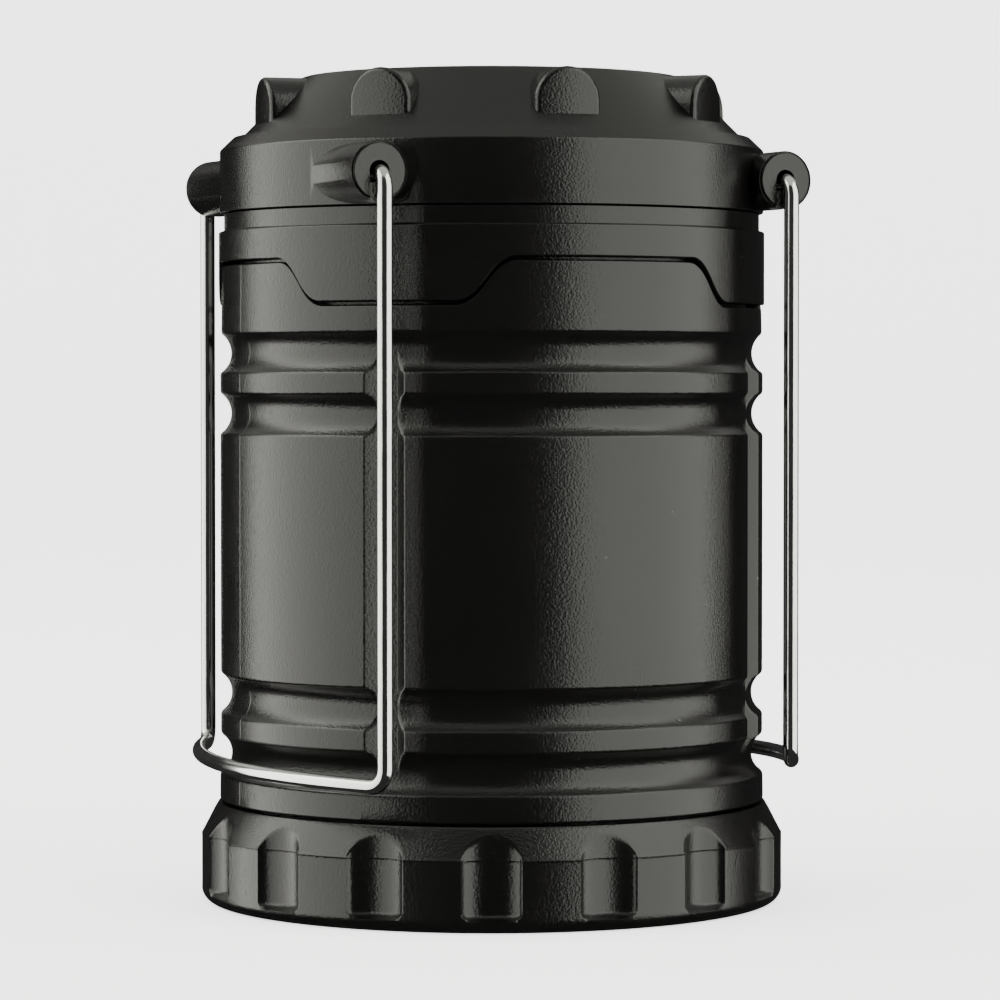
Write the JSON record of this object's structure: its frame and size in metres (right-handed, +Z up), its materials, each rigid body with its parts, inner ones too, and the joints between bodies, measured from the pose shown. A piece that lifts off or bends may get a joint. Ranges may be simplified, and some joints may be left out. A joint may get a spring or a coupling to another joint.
{
  "type": "camping lantern",
  "caption": "Collapsible camping lantern: a ribbed round body, a head that pulls up on a clear lens tube, wire bails and a screw-on battery cover.",
  "frame": {"origin": "centre of the base, on the surface that the lantern stands on", "axes": "+Z up the lantern, bail pivot axes along Y, one bail on each side in X"},
  "size_m": [0.0858, 0.0858, 0.1208],
  "materials": {
    "black_plastic": "semi-gloss moulded black with a fine leathery grain",
    "chromed_wire": "bright chromed steel wire",
    "clear_lens": "clear polished acrylic",
    "silvered_reflector": "vacuum metallised",
    "dark_inner_plastic": "matt moulded",
    "rubber_seal": "matt rubber",
    "cell_sleeve": "plain printed sleeve",
    "brass_contact": "bright brass",
    "plated_steel": "zinc plated",
    "aluminium_post": "extruded, satin",
    "led_board_white": "white solder mask",
    "circuit_board": "green solder mask"
  },
  "bodies": {
    "body": {"body_shell": "black_plastic", "guide_ring": "dark_inner_plastic", "friction_ring": "rubber_seal", "seal_ring": "rubber_seal", "battery_holder": "dark_inner_plastic", "cell_1": "cell_sleeve", "cell_2": "cell_sleeve", "cell_3": "cell_sleeve", "contact_plate_1": "brass_contact", "contact_plate_2": "brass_contact", "contact_plate_3": "brass_contact", "lower_reflector": "silvered_reflector", "reflector_screw_1": "plated_steel", "reflector_screw_2": "plated_steel", "reflector_screw_3": "plated_steel", "holder_screw_1": "plated_steel", "holder_screw_2": "plated_steel", "holder_screw_3": "plated_steel", "contact_rod_positive": "brass_contact", "contact_rod_negative": "brass_contact"},
    "head": {"top_cap": "black_plastic", "head_skirt": "black_plastic", "lens_tube": "clear_lens", "stop_ring": "dark_inner_plastic", "upper_reflector": "silvered_reflector", "led_post": "aluminium_post", "post_foot": "dark_inner_plastic", "driver_board": "circuit_board", "led_board_1": "led_board_white", "led_board_2": "led_board_white", "led_board_3": "led_board_white", "contact_sleeve_positive": "brass_contact", "contact_sleeve_negative": "brass_contact", "cap_screw_1": "plated_steel", "cap_screw_2": "plated_steel", "cap_screw_3": "plated_steel", "cap_screw_4": "plated_steel"},
    "bail_left": {"bail_left": "chromed_wire"},
    "bail_right": {"bail_right": "chromed_wire"},
    "contact_carrier": {"contact_disc": "dark_inner_plastic", "spring_1": "plated_steel", "spring_2": "plated_steel", "spring_3": "plated_steel"},
    "cover": {"base_cap": "black_plastic"}
  },
  "joints": [
    {"name": "head_slide", "type": "slide", "parent": "body", "child": "head", "axis": [0, 0, 1], "range_m": [0, 0.061]},
    {"name": "bail_left_swing", "type": "hinge", "parent": "head", "child": "bail_left", "pos_m": [-0.0318, 0, 0.1053], "axis": [0, 1, 0], "range_deg": [0, 192]},
    {"name": "bail_right_swing", "type": "hinge", "parent": "head", "child": "bail_right", "pos_m": [0.0318, 0, 0.1053], "axis": [0, -1, 0], "range_deg": [0, 192]},
    {"name": "cover_lift", "type": "slide", "parent": "body", "child": "contact_carrier", "axis": [0, 0, -1], "range_m": [0, 0.008]},
    {"name": "cover_turn", "type": "hinge", "parent": "contact_carrier", "child": "cover", "pos_m": [0, 0, 0.007], "axis": [0, 0, -1], "range_deg": [0, 720]}
  ],
  "couplings": [
    {"joint": "cover_lift", "follows": "cover_turn", "m_per_rad": 0.000636}
  ]
}
